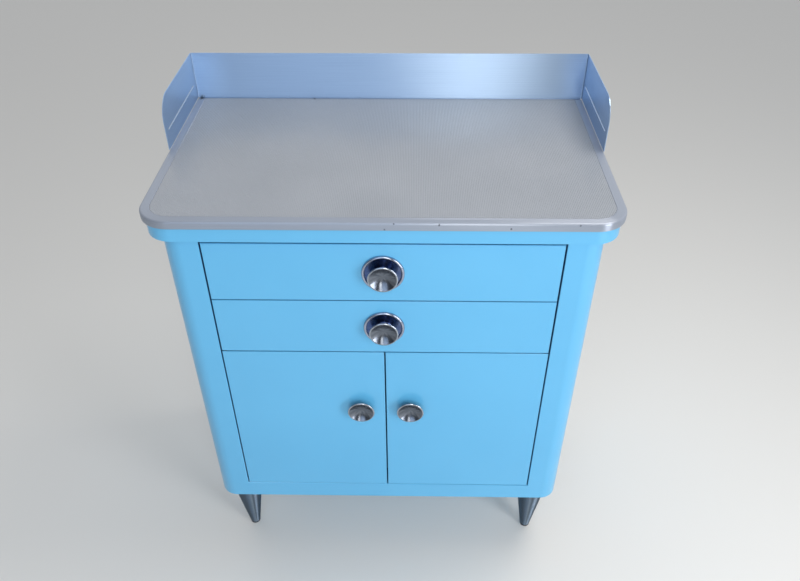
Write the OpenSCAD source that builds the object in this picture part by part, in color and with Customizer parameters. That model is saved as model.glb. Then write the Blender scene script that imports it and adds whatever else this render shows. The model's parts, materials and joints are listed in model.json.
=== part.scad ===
// Free-standing treatment cabinet: painted sheet-metal body on four conical legs, a stainless
// worktop with a splash guard, two drawers on roller slides and two doors on corner pivots.
// The origin is on the floor under the middle of the cabinet. The front looks along -Y.

/* [Worktop] */
// Width of the worktop tray
top_w = 762; // [640:1:900]
// Depth of the worktop from its front edge to the back of the splash guard
top_d = 450; // [410:1:540]
// Height of the tray's turned-down edge
tray_edge_h = 14; // [10:0.5:24]
// Plan radius of the tray's front corners
tray_r = 52; // [30:1:80]
// Width of the raised rim round the mat
rim_w = 16; // [8:0.5:24]
// Width of the raised rim along the splash guard
back_rim_w = 6; // [3:0.5:24]
// Depth of the recess that holds the mat
mat_recess = 1.8; // [1:0.1:4]
// Thickness of the ribbed mat
mat_t = 1.6; // [0.8:0.1:3]
// Height of the splash guard above the rim
splash_h = 90; // [60:1:140]
// Length of the splash guard's side wings
wing_len = 221; // [120:1:300]
// Radius of the wings' upper front corners
wing_r = 42; // [10:1:55]
// Height of the accessory slot above the rim
slot_z = 30; // [12:1:50]
// Width of the accessory slot
slot_h = 2.5; // [1.5:0.1:6]
// Distance from the slot's ends to the ends of the wing
slot_margin = 16; // [8:1:40]
// Inside radius of the splash guard's bends
bend_r = 2; // [1:0.5:6]

/* [Body] */
// Overhang of the tray past the body at the front and sides
overhang = 24; // [14:1:40]
// Distance from the body's back to the back of the splash guard
back_inset = 3; // [2.5:0.5:20]
// Plan radius of the body's front corners
body_r = 34; // [12:1:50]
// Width of the front frame beside the drawers
stile_w = 64; // [50:1:90]
// Height of the frame below the doors
base_rail_h = 42; // [30:1:80]
// Height of the frame above the upper drawer
header_h = 13; // [8:1:40]
// Height of the painted band under the tray
cornice_h = 27; // [18:1:50]
// Setback of the band behind the tray's edge
cornice_inset = 6; // [4:0.5:12]
// Depth of the turned-in frame round the front opening
return_d = 42; // [36:1:60]
// Width of the turned-in flanges
flange_w = 18; // [14:1:30]
// Thickness of the sheet metal
sheet = 1.2; // [0.8:0.1:2]
// Thickness of the base plate that carries the legs
base_t = 2; // [1.5:0.1:4]
// Height of the base plate's turned-up edge
base_lip = 24; // [12:1:26]
// Height of the cross rails behind the fronts
rail_h = 16; // [12:1:20]
// Depth of the cross rails
rail_d = 16; // [12:1:20]

/* [Fronts] */
// Height given to each drawer
drawer_zone_h = 118; // [100:1:160]
// Height given to the doors
door_zone_h = 378; // [250:1:500]
// Thickness of the drawer fronts and doors
front_t = 19; // [16:0.5:24]
// Gap between the fronts and the side frame
side_gap = 2.5; // [2:0.1:4]
// Gap between fronts one above another
level_gap = 1.6; // [1:0.1:3]
// Gap over the upper drawer's front
head_gap = 3; // [1:0.1:5]
// Gap between the two doors
centre_gap = 2.4; // [1.5:0.1:5]

/* [Drawers] */
// Height of a drawer box above the bottom of its zone
box_z = 12; // [9:0.5:18]
// Height of a drawer box
box_h = 88; // [60:1:90]
// Distance from the back of a drawer box to the back of the body
box_back_gap = 26; // [18:1:60]
// Space beside a drawer box for its slide
slide_w = 13.5; // [12.5:0.1:18]
// Height of the slide's rollers above the bottom of the zone
slide_z = 42; // [32:1:60]
// Thickness of the slide's steel
slide_t = 1.5; // [1:0.1:2]
// Radius of the slide rollers
roller_r = 9; // [6:0.5:12]
// Width of the slide rollers
roller_w = 7; // [5:0.5:8]
// Radius of the roller axles
axle_r = 3; // [2:0.1:4]
// Distance from the front of a runner to its fixed roller
roller_y = 30; // [25:1:60]

/* [Doors and shelf] */
// Distance of the pivot axis from a door's edge and from its face
pivot_inset = 5; // [4.5:0.1:5.5]
// Radius of the pivot pins
pivot_r = 1.75; // [1.2:0.05:2]
// Width of the pivot arms
arm_w = 5; // [4.4:0.1:5.2]
// Height of the pocket in a door that clears its pivot arm
pocket_h = 3.5; // [3:0.1:6]
// Length of a pivot pin inside its door
pin_len = 12; // [6:0.5:20]
// Height of the shelf above the cabinet floor
shelf_z = 180; // [60:1:200]
// Height of the shelf's turned-down edge
shelf_edge = 18; // [10:1:30]

/* [Pulls] */
// Diameter of the dished knobs
knob_d = 50.2; // [40:0.2:60]
// Height of a knob from its seat to its rim
knob_h = 15; // [13:0.5:24]
// Depth of the dish in a knob's face
dish_depth = 9; // [4:0.5:9]
// Thickness of a knob's rounded rim
knob_rim = 2.6; // [1.5:0.1:4]
// Radius of a knob's neck
neck_r = 8.5; // [6:0.5:14]
// Diameter of the saucer behind a drawer knob
saucer_d = 71; // [62:1:80]
// Radius of the saucer's rolled bead
bead_r = 2.8; // [1.5:0.1:4]
// Thickness of the saucer's floor
saucer_t = 1.5; // [1:0.1:3]
// Height of the hub that lifts a drawer knob off the face
hub_h = 4.5; // [3:0.1:8]
// Distance from a door knob to the meeting edge of its door
knob_edge = 45; // [30:1:80]
// Distance from a door knob to the top of its door
knob_drop = 142.5; // [60:0.5:190]

/* [Legs] */
// Height of the body above the floor
leg_h = 179; // [100:1:220]
// Distance from the body's sides to the leg axes
leg_inset_x = 42; // [40:0.5:80]
// Distance from the body's front and back to the leg axes
leg_inset_y = 60.5; // [42:0.5:90]
// Diameter of a leg at its top
leg_top_d = 72; // [50:1:78]
// Diameter of a leg at its foot
leg_foot_d = 22; // [18:1:40]
// Wall of a leg
leg_wall = 1.5; // [1:0.1:3]
// Thickness of the threaded cap in the top of a leg
cap_t = 8; // [5:0.5:14]
// Height of the solid plug in the foot of a leg
plug_h = 9; // [6:0.5:14]
// Height of the glide under a leg
glide_h = 5; // [3:0.5:10]
// Radius of a glide's stem
stem_r = 3; // [2:0.1:5]

/* [Fasteners and fits] */
// Radius of the screw shanks
screw_r = 2; // [1.5:0.1:2.5]
// Radius of the screw heads
head_r = 4; // [3:0.1:4.5]
// Height of the screw heads
head_h = 2.2; // [1.5:0.1:2.5]
// Length of a screw beyond the sheets that it joins
screw_grip = 8; // [4:0.5:9]
// Radius of the leg bolts
bolt_r = 4; // [3:0.1:6]
// Radius of the leg bolts' six-sided heads
bolt_head_r = 7.4; // [7:0.1:9]
// Height of the leg bolts' heads
bolt_head_h = 5.3; // [4:0.1:7]
// Clearance between pieces that are seated side by side
seat_gap = 0.3; // [0.2:0.05:0.5]
// Radial clearance of turning fits
run_gap = 0.05; // [0.02:0.01:0.09]
// Radial clearance of screw holes
hole_gap = 0.2; // [0.1:0.05:0.4]

/* [Hidden] */
$fn = 64;
PAINT = "#6EBBEA";
STAINLESS = "#93A5BE";
STEEL = "#A9B0B8";
NYLON = "#E4E2DA";
RUBBER = "#9A9FA8";
BOARD = "#A68A64";
DARK = "#3C3F45";
// Overlap that lets a cut pass cleanly through a face
cut = 1;

// Heights, from the floor up
z_body = leg_h;
z_doors = z_body + base_rail_h;
z_lower = z_doors + door_zone_h;
z_upper = z_lower + drawer_zone_h;
z_header = z_upper + drawer_zone_h;
z_cornice = z_header + header_h;
z_tray = z_cornice + cornice_h;
z_top = z_tray + tray_edge_h;
z_splash = z_top + splash_h;
z_floor = z_doors - level_gap / 2;
z_lintel = z_header + level_gap / 2;

// Depths, from the front back
y_edge = -top_d / 2;
y_band = y_edge + cornice_inset;
y_face = y_edge + overhang;
y_inside = y_face + front_t;
y_rail = y_inside + seat_gap + sheet;
y_runner = y_rail + sheet;
y_return = y_face + return_d;
y_splash = top_d / 2;
y_wing = y_splash - wing_len;
y_tray_back = y_splash - sheet;
y_back = y_splash - back_inset;
y_panel = y_back - sheet;
y_flange = y_panel - sheet;
y_box = y_back - box_back_gap;
y_roller = y_runner + roller_y;
y_wheel = y_box - roller_r - slide_t;

// Half widths
tray_hw = top_w / 2;
band_hw = tray_hw - cornice_inset;
body_hw = tray_hw - overhang;
open_hw = body_hw - stile_w;
front_hw = open_hw - side_gap;
box_hw = open_hw - slide_w;
panel_hw = body_hw - sheet - seat_gap;
pivot_x = front_hw - pivot_inset;
pivot_y = y_face + pivot_inset;

// Slide heights above the bottom of a drawer zone
tread_z = slide_z - roller_r - seat_gap;
ride_z = slide_z + roller_r + seat_gap;
hood_z = ride_z + slide_t + 2 * seat_gap;

// Knobs
knob_r = knob_d / 2;
knob_x = centre_gap / 2 + knob_edge;
knob_z = z_lower - level_gap / 2 - knob_drop;
door_top = z_lower - level_gap / 2;
door_bottom = z_doors + level_gap / 2;

// Screw places
back_screw_x = panel_hw - flange_w / 2;
back_screw_rows = [for (i = [0 : 3]) z_floor + flange_w + i * (z_header - z_floor - flange_w) / 3];
tab_w = slide_w + 2 * head_r;
tab_x = open_hw - tab_w / 2;
web_screw_y = (y_runner + y_return) / 2;
side_screw_x = body_hw - sheet - flange_w / 2;
side_screw_rows = [for (i = [-1 : 1]) (y_face + y_back) / 2 + i * (y_back - y_face) / 3];
front_screw_y = y_face + sheet + flange_w / 2;
front_screw_cols = [for (i = [-1, 1]) i * open_hw / 2];
band_screw_x = band_hw - sheet - flange_w / 2;
band_screw_y = y_band + sheet + flange_w / 2;
core_top = z_top - mat_recess - sheet - seat_gap;
rivet_cols = [for (i = [-2 : 2]) i * tray_hw * 2 / 5];
rivet_z = (z_tray + core_top) / 2;

// Plan of a panel with round front corners and square back corners
module round_front(hw, y0, y1, r) {
    translate([-hw, y0 + r]) square([2 * hw, y1 - y0 - r]);
    translate([-hw + r, y0]) square([2 * (hw - r), 2 * r]);
    for (side = [-1, 1]) translate([side * (hw - r), y0 + r]) circle(r);
}

// The plan of the body, moved inward
module body_plan(inset, y1) {
    round_front(body_hw - inset, y_face + inset, y1, body_r - inset);
}

// The plan of the painted band, moved inward
module band_plan(inset) {
    round_front(band_hw - inset, y_band + inset, y_back - inset, tray_r - cornice_inset - min(inset, sheet));
}

// The plan of the tray, moved inward
module tray_plan(inset, back) {
    round_front(tray_hw - inset, y_edge + inset, y_tray_back - back, tray_r - inset);
}

// A block given by its two corners
module block(low, high) {
    translate(low) cube(high - low);
}

// Turns what stands along Z to lie along -Y, and puts it at a place
module facing_front(place) {
    translate(place) rotate([90, 0, 0]) children();
}

// Turns what stands along Z to lie along +X or -X, and puts it at a place
module facing_side(side, place) {
    translate(place) rotate([0, side * 90, 0]) children();
}

// A pan-head screw: the head stands on Z = 0 and the shank goes down
module screw(length) {
    cylinder(r = head_r, h = head_h);
    translate([0, 0, -length]) cylinder(r = screw_r, h = length);
}

// A clearance hole for a screw, both ways from Z = 0
module screw_hole(length) {
    translate([0, 0, -length]) cylinder(r = screw_r + hole_gap, h = 2 * length);
}

// Puts its children at each screw of the back panel
module at_back_screws() {
    for (side = [-1, 1], z = back_screw_rows)
        translate([side * back_screw_x, y_back, z]) rotate([-90, 0, 0]) children();
}

// Puts its children at each screw through the back into a runner's tab
module at_tab_screws() {
    for (side = [-1, 1], zone = [z_lower, z_upper])
        translate([side * tab_x, y_back, zone + slide_z]) rotate([-90, 0, 0]) children();
}

// Puts its children at each screw that joins the band to the body
module at_body_screws() {
    for (side = [-1, 1], y = side_screw_rows)
        translate([side * side_screw_x, y, z_cornice + sheet]) children();
    for (x = front_screw_cols) translate([x, front_screw_y, z_cornice + sheet]) children();
}

// Puts its children at each screw that joins the band to the worktop core
module at_core_screws() {
    for (side = [-1, 1], y = [side_screw_rows[0], side_screw_rows[2]])
        translate([side * band_screw_x, y, z_tray - sheet]) rotate([180, 0, 0]) children();
    for (x = front_screw_cols)
        translate([x, band_screw_y, z_tray - sheet]) rotate([180, 0, 0]) children();
}

// Puts its children at each rivet of the splash guard
module at_rivets() {
    for (x = rivet_cols) translate([x, y_splash, rivet_z]) rotate([-90, 0, 0]) children();
}

// Puts its children at the axis of one leg
module at_leg(side, end) {
    y = end < 0 ? y_face + leg_inset_y : y_back - leg_inset_y;
    translate([side * (body_hw - leg_inset_x), y, 0]) children();
}

// Welded body: sides, round front corners, front frame and its turned-in edges
module body_shell() {
    color(PAINT) difference() {
        union() {
            difference() {
                translate([0, 0, z_body]) linear_extrude(z_cornice - z_body) difference() {
                    body_plan(0, y_back);
                    body_plan(sheet, y_back + cut);
                }
                block([-open_hw, y_face - cut, z_floor], [open_hw, y_face + sheet + cut, z_lintel]);
            }
            difference() {
                block([-open_hw - sheet, y_face, z_floor - sheet],
                    [open_hw + sheet, y_return, z_lintel + sheet]);
                block([-open_hw, y_face - cut, z_floor], [open_hw, y_return + cut, z_lintel]);
            }
            translate([0, 0, z_cornice - sheet]) linear_extrude(sheet) difference() {
                body_plan(0, y_flange);
                translate([-body_hw + sheet + flange_w, y_face + sheet + flange_w])
                    square([2 * (body_hw - sheet - flange_w), y_back - y_face]);
            }
            for (side = [0, 1]) mirror([side, 0, 0])
                block([body_hw - sheet - flange_w, y_flange, z_body], [body_hw, y_panel, z_cornice]);
        }
        at_back_screws() screw_hole(screw_grip);
        at_body_screws() screw_hole(screw_grip);
        for (side = [-1, 1], zone = [z_lower, z_upper])
            facing_side(side, [side * open_hw, web_screw_y, zone + slide_z]) screw_hole(screw_grip);
    }
}

// Base plate with turned-up edges, which stiffens the bottom and carries the legs
module base_plate() {
    inset = sheet + seat_gap;
    color(PAINT) translate([0, 0, z_body]) difference() {
        linear_extrude(base_lip) body_plan(inset, y_flange - seat_gap);
        translate([0, 0, base_t]) linear_extrude(base_lip)
            body_plan(inset + sheet, y_flange - seat_gap - sheet);
        for (side = [-1, 1], end = [-1, 1]) at_leg(side, end)
            cylinder(r = bolt_r + hole_gap, h = 2 * (base_t + cut), center = true);
    }
}

// Floor of the lower compartment, an upturned pan that stands on the base plate
module cabinet_floor() {
    hw = body_hw - 2 * sheet - 2 * seat_gap;
    low = [-hw, y_return + seat_gap, z_body + base_t];
    high = [hw, y_flange - sheet - 2 * seat_gap, z_floor];
    wall = [sheet, sheet, -cut];
    color(PAINT) difference() {
        block(low, high);
        block(low + wall, high - [sheet, sheet, sheet]);
    }
}

// Flat back, screwed to the flanges of the body
module back_panel() {
    color(PAINT) difference() {
        block([-panel_hw, y_panel, z_body + seat_gap], [panel_hw, y_back, z_cornice - seat_gap]);
        at_back_screws() screw_hole(screw_grip);
        at_tab_screws() screw_hole(screw_grip);
    }
}

// Painted band under the tray: a channel with a flange on the body and one under the worktop
module cornice() {
    color(PAINT) difference() {
        translate([0, 0, z_cornice]) linear_extrude(cornice_h) band_plan(0);
        translate([0, 0, z_cornice + sheet]) linear_extrude(cornice_h - 2 * sheet) band_plan(sheet);
        translate([0, 0, z_tray - sheet - cut]) linear_extrude(sheet + 2 * cut)
            band_plan(sheet + flange_w);
        block([-body_hw + flange_w + sheet, y_face + flange_w + sheet, z_cornice - cut],
            [body_hw - flange_w - sheet, y_back - flange_w, z_tray - sheet]);
        at_body_screws() screw_hole(screw_grip);
        at_core_screws() screw_hole(screw_grip);
    }
}

// Board that fills the tray from below and makes the worktop stiff
module top_core() {
    inset = sheet + seat_gap;
    color(BOARD) difference() {
        translate([0, 0, z_tray]) linear_extrude(core_top - z_tray) tray_plan(inset, inset);
        at_core_screws() screw_hole(screw_grip);
        at_rivets() screw_hole(screw_grip + 2 * sheet);
    }
}

// Stainless tray: raised rim, recess for the mat and turned-down edge
module top_tray() {
    color(STAINLESS) difference() {
        translate([0, 0, z_tray]) linear_extrude(tray_edge_h) tray_plan(0, 0);
        translate([0, 0, z_tray - cut]) linear_extrude(core_top + seat_gap - z_tray + cut)
            tray_plan(sheet, sheet);
        translate([0, 0, z_top - mat_recess]) linear_extrude(mat_recess + cut)
            tray_plan(rim_w, back_rim_w);
        at_rivets() screw_hole(screw_grip);
    }
}

// Ribbed mat in the recess of the tray
module top_mat() {
    color(RUBBER) translate([0, 0, z_top - mat_recess]) linear_extrude(mat_t)
        tray_plan(rim_w + seat_gap, back_rim_w + seat_gap);
}

// Splash guard: one bent sheet, whose back hangs behind the tray and whose wings stand on its rim
module splash_guard() {
    outer_r = bend_r + sheet;
    color(STAINLESS) difference() {
        union() {
            translate([0, 0, z_top]) linear_extrude(splash_h) difference() {
                mirror([0, 1]) round_front(tray_hw, -y_splash, -y_wing, outer_r);
                mirror([0, 1]) round_front(tray_hw - sheet, sheet - y_splash, cut - y_wing, bend_r);
            }
            block([-tray_hw + outer_r, y_tray_back, z_tray], [tray_hw - outer_r, y_splash, z_splash]);
        }
        difference() {
            block([-tray_hw - cut, y_wing - cut, z_splash - wing_r],
                [tray_hw + cut, y_wing + wing_r, z_splash + cut]);
            facing_side(1, [-tray_hw - cut, y_wing + wing_r, z_splash - wing_r])
                cylinder(r = wing_r, h = top_w + 2 * cut);
        }
        block([-tray_hw - cut, y_wing + slot_margin, z_top + slot_z],
            [tray_hw + cut, y_splash - slot_margin, z_top + slot_z + slot_h]);
        at_rivets() rivet(hole_gap);
    }
}

// A countersunk rivet whose head is flush with Z = 0
module rivet(gap) {
    translate([0, 0, -sheet]) cylinder(r1 = screw_r + gap, r2 = screw_r + sheet + gap, h = sheet);
    translate([0, 0, -screw_grip - sheet]) cylinder(r = screw_r + gap, h = screw_grip + sheet);
}

// Rivets that hold the splash guard to the tray and its core
module splash_rivets() {
    color(STEEL) at_rivets() rivet(0);
}

// Cross rail: a channel, open at the back, between the two sides of the front frame
module cross_rail(z) {
    low = [-open_hw, y_rail, z - rail_h / 2];
    high = [open_hw, y_rail + rail_d, z + rail_h / 2];
    color(PAINT) difference() {
        block(low, high);
        block(low + [-cut, sheet, sheet], high + [cut, cut, -sheet]);
        children();
    }
}

// Heights of the two arms that carry a door
upper_arm_z = door_top - pocket_h + seat_gap;
lower_collar_z = door_bottom + pocket_h - seat_gap;
upper_arm_t = pocket_h - 3 * seat_gap;
lower_arm_t = (lower_collar_z - z_floor) / 2;
arm_tail_y = y_rail + rail_d - sheet;

// Rail between the drawers
module upper_cross_rail() {
    cross_rail(z_upper);
}

// Rail above the doors, slotted for the upper pivot arms
module lower_cross_rail() {
    half = arm_w / 2 + seat_gap;
    cross_rail(z_lower) for (side = [-1, 1])
        block([side * pivot_x - half, y_rail - cut, upper_arm_z - seat_gap],
            [side * pivot_x + half, y_rail + sheet + cut, upper_arm_z + upper_arm_t + seat_gap]);
}

// Plan of a pivot arm: a round eye at the pin and a straight tail
module arm_plan(tail_y) {
    translate([pivot_x, pivot_y]) circle(arm_w / 2);
    translate([pivot_x - arm_w / 2, pivot_y]) square([arm_w, tail_y - pivot_y]);
}

// The two arms of one door with their pins: the upper one hangs in the rail, the lower one lies
// on the frame and carries the door on a collar
module pivot_arms(side) {
    foot_z = z_lower - rail_h / 2 + sheet;
    color(STEEL) mirror([side < 0 ? 1 : 0, 0, 0]) {
        translate([0, 0, upper_arm_z]) linear_extrude(upper_arm_t) arm_plan(arm_tail_y);
        block([pivot_x - arm_w / 2, y_rail + 2 * sheet, foot_z],
            [pivot_x + arm_w / 2, arm_tail_y, upper_arm_z + upper_arm_t]);
        translate([pivot_x, pivot_y, upper_arm_z - pin_len]) cylinder(r = pivot_r, h = pin_len);
        translate([0, 0, z_floor]) linear_extrude(lower_arm_t) arm_plan(arm_tail_y);
        translate([pivot_x, pivot_y, z_floor]) cylinder(r = arm_w / 2, h = lower_collar_z - z_floor);
        translate([pivot_x, pivot_y, z_floor]) cylinder(r = pivot_r, h = lower_collar_z - z_floor + pin_len);
    }
}

// Diameter of a leg at a height above its glide
cone_h = z_body - glide_h;
function leg_d(h) = leg_foot_d + (leg_top_d - leg_foot_d) * h / cone_h;

// Conical leg: a hollow cone with a plug for its glide and a threaded cap for its bolt
module leg(side, end) {
    color(STEEL) at_leg(side, end) translate([0, 0, glide_h]) difference() {
        cylinder(d1 = leg_foot_d, d2 = leg_top_d, h = cone_h);
        translate([0, 0, plug_h]) cylinder(d1 = leg_d(plug_h) - 2 * leg_wall,
            d2 = leg_d(cone_h - cap_t) - 2 * leg_wall, h = cone_h - cap_t - plug_h);
        translate([0, 0, -cut]) cylinder(r = stem_r + run_gap, h = plug_h + 2 * cut);
        translate([0, 0, cone_h - cap_t - cut]) cylinder(r = bolt_r + run_gap, h = cap_t + 2 * cut);
    }
}

// Glides pushed into the feet of the legs
module leg_glides() {
    color(DARK) for (side = [-1, 1], end = [-1, 1]) at_leg(side, end) {
        cylinder(d = leg_foot_d - 2 * seat_gap, h = glide_h);
        cylinder(r = stem_r, h = glide_h + plug_h);
    }
}

// Bolts that go down through the base plate into the legs
module leg_bolts() {
    color(STEEL) for (side = [-1, 1], end = [-1, 1]) at_leg(side, end) translate([0, 0, z_body + base_t]) {
        cylinder(r = bolt_head_r, h = bolt_head_h, $fn = 6);
        translate([0, 0, -base_t - cap_t]) cylinder(r = bolt_r, h = base_t + cap_t + cut);
    }
}

// Screws that join the band to the body below it and to the worktop above it
module deck_screws() {
    color(STEEL) {
        at_body_screws() screw(screw_grip);
        at_core_screws() screw(screw_grip);
    }
}

// Screws of the back panel and of the drawer runners
module panel_screws() {
    color(STEEL) {
        at_back_screws() screw(screw_grip);
        at_tab_screws() screw(screw_grip);
        for (side = [-1, 1], zone = [z_lower, z_upper])
            facing_side(-side, [side * (open_hw - slide_t), web_screw_y, zone + slide_z]) screw(screw_grip);
    }
}

// Sizes of the shelf in the lower compartment
shelf_top = z_floor + shelf_z;
shelf_hw = body_hw - sheet - slide_t;
shelf_front = y_return + flange_w;
shelf_back = y_back - screw_grip - sheet;
clip_rows = [shelf_front + flange_w, shelf_back - flange_w];

// Sheet-metal shelf with turned-down edges
module shelf() {
    low = [-shelf_hw, shelf_front, shelf_top - shelf_edge];
    high = [shelf_hw, shelf_back, shelf_top];
    color(PAINT) difference() {
        block(low, high);
        block(low + [sheet, sheet, -cut], high - [sheet, sheet, sheet]);
    }
}

// Clips on the body's sides, under the edges of the shelf
module shelf_clips() {
    color(STEEL) for (side = [0, 1], y = clip_rows) mirror([side, 0, 0])
        block([shelf_hw - flange_w / 2, y - flange_w / 2, shelf_top - shelf_edge - 2 * slide_t],
            [body_hw - sheet, y + flange_w / 2, shelf_top - shelf_edge]);
}

// Magnetic catches under the rail, one for each door
module door_catches() {
    catch_top = z_lower - rail_h / 2;
    color(DARK) for (side = [0, 1]) mirror([side, 0, 0])
        block([knob_edge - rail_h, y_inside + seat_gap, catch_top - rail_h],
            [knob_edge + rail_h, y_rail + rail_d, catch_top]);
}

// Sizes across a slide, measured from the middle of the cabinet
web_x = open_hw - slide_t;
rail_x = box_hw + slide_t;
end_gap = (web_x - rail_x - roller_w) / 4;
tread_x = rail_x + slide_t / 2;

// Fixed runner of one drawer slide: a channel with a riveted axle and a tab at the back
module runner(side, zone) {
    low = [tread_x, y_runner, zone + tread_z - slide_t];
    high = [open_hw, y_panel, zone + hood_z + slide_t];
    color(STEEL) mirror([side < 0 ? 1 : 0, 0, 0]) difference() {
        union() {
            difference() {
                block(low, high);
                block(low + [-cut, -cut, slide_t], high + [-slide_t, cut, -slide_t]);
            }
            block([open_hw - tab_w, y_panel - slide_t, low[2]], high);
            translate([0, y_roller, zone + slide_z]) axle(web_x, -1);
        }
        at_tab_screws() screw_hole(screw_grip);
        facing_side(1, [open_hw, web_screw_y, zone + slide_z]) screw_hole(screw_grip);
    }
}

// A riveted axle that stands on a plate at x and points along X in the given direction
module axle(x, way) {
    reach = roller_w + 2 * end_gap;
    facing_side(way, [x, 0, 0]) {
        cylinder(r = axle_r, h = reach);
        translate([0, 0, reach - end_gap / 2]) cylinder(r = axle_r + slide_t, h = end_gap);
    }
}

// A roller whose near end is at x, with a turning fit on its axle
module roller(side, x, y, zone) {
    color(NYLON) mirror([side < 0 ? 1 : 0, 0, 0]) facing_side(1, [x, y, zone + slide_z]) difference() {
        cylinder(r = roller_r, h = roller_w);
        translate([0, 0, -cut]) cylinder(r = axle_r + run_gap, h = roller_w + 2 * cut);
    }
}

// Roller on the front of a fixed runner
module fixed_roller(side, zone) {
    roller(side, web_x - end_gap - roller_w, y_roller, zone);
}

// Wheel at the back of a drawer
module drawer_wheel(side, zone) {
    roller(side, rail_x + end_gap, y_wheel, zone);
}

// Rail on a drawer's side: an angle whose flange rides over the fixed roller
module drawer_rail(side, zone) {
    color(STEEL) mirror([side < 0 ? 1 : 0, 0, 0]) {
        block([box_hw, y_runner, zone + tread_z], [rail_x, y_box, zone + ride_z + slide_t]);
        block([box_hw, y_runner, zone + ride_z], [web_x - end_gap, y_box, zone + ride_z + slide_t]);
        translate([0, y_wheel, zone + slide_z]) axle(rail_x, 1);
    }
}

// Hollow front given by its corners, with a screw hole at each knob
module hollow_front(low, high) {
    difference() {
        block(low, high);
        block(low + [sheet, sheet, sheet], high - [sheet, -cut, sheet]);
        children();
    }
}

// Height of a drawer knob in its zone
pull_z = drawer_zone_h / 2;
// Height of the top of a drawer's front
function front_top(zone) = zone == z_upper ? z_lintel - head_gap : zone + drawer_zone_h - level_gap / 2;

// Pressed front of a drawer
module drawer_front(zone) {
    color(PAINT) hollow_front([-front_hw, y_face, zone + level_gap / 2],
        [front_hw, y_inside, front_top(zone)])
            facing_front([0, y_face, zone + pull_z]) screw_hole(screw_grip);
}

// Drawer box, whose front wall closes the hollow front from behind
module drawer_box(zone) {
    edge = sheet + seat_gap;
    low = [-box_hw, y_inside - sheet, zone + box_z];
    high = [box_hw, y_box, zone + box_z + box_h];
    color(STAINLESS) difference() {
        union() {
            block(low, high);
            block([-front_hw + edge, y_inside - sheet, zone + level_gap / 2 + edge],
                [front_hw - edge, y_inside, front_top(zone) - edge]);
        }
        block(low + [sheet, sheet, sheet], high + [-sheet, -sheet, cut]);
        facing_front([0, y_inside, zone + pull_z]) cylinder(r = 2 * head_r, h = 4 * sheet, center = true);
    }
}

// Height of a knob's dish at a distance from its axis
function dish_h(r) = knob_h - dish_depth * (1 - pow(r / (knob_r - knob_rim), 2));

// Half profile of a knob: neck, back of the bowl, round rim and dish
knob_steps = 10;
bowl_r = knob_r - knob_rim;
knob_profile = concat(
    [[0, 0], [neck_r, 0]],
    [for (i = [0 : knob_steps]) let (r = neck_r + (bowl_r - neck_r) * i / knob_steps)
        [r, dish_h(r) - knob_rim]],
    [for (i = [1 : knob_steps - 1]) let (a = 180 * i / knob_steps - 90)
        [bowl_r + knob_rim * cos(a), knob_h - knob_rim / 2 + knob_rim / 2 * sin(a)]],
    [for (i = [knob_steps : -1 : 0]) let (r = bowl_r * i / knob_steps) [r, dish_h(r)]]);
thread_depth = (knob_h - dish_depth) * 3 / 4;

// Dished knob with a threaded hole in its neck
module knob(x, seat, z) {
    color(STEEL) facing_front([x, y_face - seat, z]) difference() {
        rotate_extrude() polygon(knob_profile);
        translate([0, 0, -cut]) cylinder(r = screw_r + run_gap, h = thread_depth + cut);
    }
}

// Half profile of a saucer: hub, shallow floor and rolled bead
saucer_r = saucer_d / 2;
hub_r = neck_r + hub_h;
saucer_profile = concat(
    [[0, 0], [0, hub_h], [hub_r - (hub_h - saucer_t) / 2, hub_h], [hub_r, saucer_t]],
    [for (i = [0 : knob_steps]) let (a = 180 - 180 * i / knob_steps)
        [saucer_r - bead_r + bead_r * cos(a), saucer_t + bead_r * sin(a)]],
    [[saucer_r, 0]]);

// Round saucer between a drawer's front and its knob
module saucer(zone) {
    color(STEEL) facing_front([0, y_face, zone + pull_z]) difference() {
        rotate_extrude() polygon(saucer_profile);
        screw_hole(2 * hub_h);
    }
}

// Screw that holds a knob from inside the hollow front
module knob_screw(x, seat, z) {
    length = sheet + seat + thread_depth - seat_gap;
    color(STEEL) translate([x, y_face + sheet, z]) rotate([-90, 0, 0]) screw(length);
}

// The pockets at a door's outer corners, open to the back and to the side
module pivot_pockets(y0) {
    for (z = [door_bottom - cut, door_top - pocket_h])
        block([pivot_x - pivot_inset, y0, z], [front_hw + cut, y_inside + cut, z + pocket_h + cut]);
}

// Pressed skin of a door
module door_skin(side) {
    color(PAINT) mirror([side < 0 ? 1 : 0, 0, 0])
        hollow_front([centre_gap / 2, y_face, door_bottom], [front_hw, y_inside, door_top]) {
            pivot_pockets(y_face + sheet);
            facing_front([knob_x, y_face, knob_z]) screw_hole(screw_grip);
        }
}

// Inner pan of a door with its two pivot blocks
module door_liner(side) {
    edge = sheet + seat_gap;
    block_h = pin_len + pocket_h;
    color(PAINT) mirror([side < 0 ? 1 : 0, 0, 0]) difference() {
        union() {
            block([centre_gap / 2 + edge, y_inside - sheet, door_bottom + edge],
                [front_hw - edge, y_inside, door_top - edge]);
            for (z = [door_bottom + pocket_h, door_top - pocket_h - block_h])
                block([pivot_x - pivot_inset, y_face + edge, z], [front_hw - edge, y_inside, z + block_h]);
        }
        pivot_pockets(y_face);
        for (z = [door_bottom, door_top - 2 * block_h])
            translate([pivot_x, pivot_y, z]) cylinder(r = pivot_r + run_gap, h = 2 * block_h);
        facing_front([knob_x, y_inside, knob_z]) cylinder(r = 2 * head_r, h = 4 * sheet, center = true);
    }
}

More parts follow.
